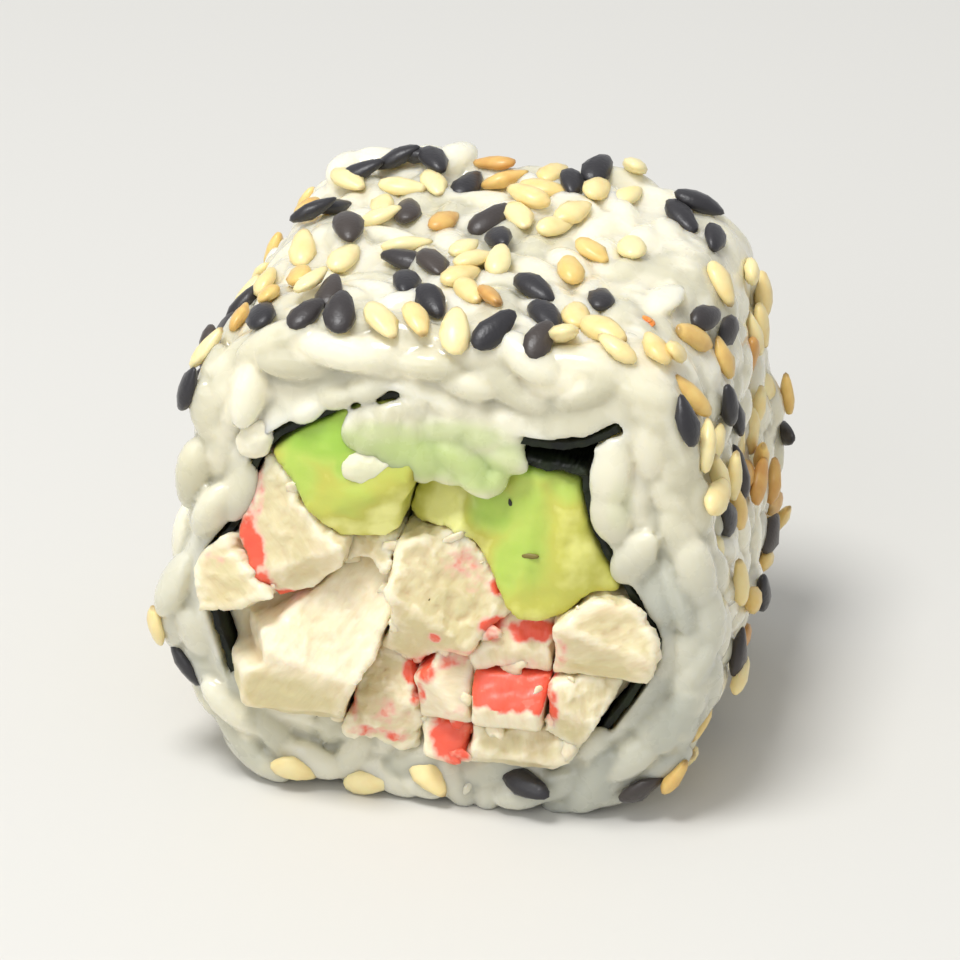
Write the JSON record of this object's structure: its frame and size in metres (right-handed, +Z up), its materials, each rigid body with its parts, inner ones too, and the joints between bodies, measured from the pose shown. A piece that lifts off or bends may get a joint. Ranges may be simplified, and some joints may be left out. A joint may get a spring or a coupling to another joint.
{
  "type": "uramaki roll",
  "caption": "Cut piece of an inside-out sushi roll: pressed rice round a nori sheet, with avocado and chopped crab sticks showing at both cuts, and sesame seeds on the rolled side.",
  "frame": {"origin": "middle of the piece in plan, on the surface that it lies on", "axes": "+Y along the roll's axis, from the cut that faces the guest to the other cut; +X to the right of that cut; +Z up"},
  "size_m": [0.0362, 0.0308, 0.0332],
  "materials": {
    "rice": "moist, slightly translucent cooked rice",
    "nori": "damp seaweed sheet, near black green",
    "avocado": "ripe avocado, yellow to green, satin",
    "surimi": "cream crab stick, fibrous, satin",
    "surimi_skin": "red dyed skin of a crab stick, moist"
  },
  "bodies": {
    "root": {"rice": "rice", "nori": "nori", "avocado_left": "avocado", "avocado_right": "avocado", "surimi_upper_left": "surimi", "surimi_far_left": "surimi", "surimi_block": "surimi", "surimi_middle": "surimi", "surimi_centre": "surimi", "surimi_red_slice": "surimi", "surimi_red_cube": "surimi_skin", "surimi_white_cube": "surimi", "surimi_red_chip": "surimi_skin", "surimi_crumb": "surimi", "surimi_right_upper": "surimi", "surimi_right_lower": "surimi", "surimi_flake": "surimi"}
  },
  "joints": []
}
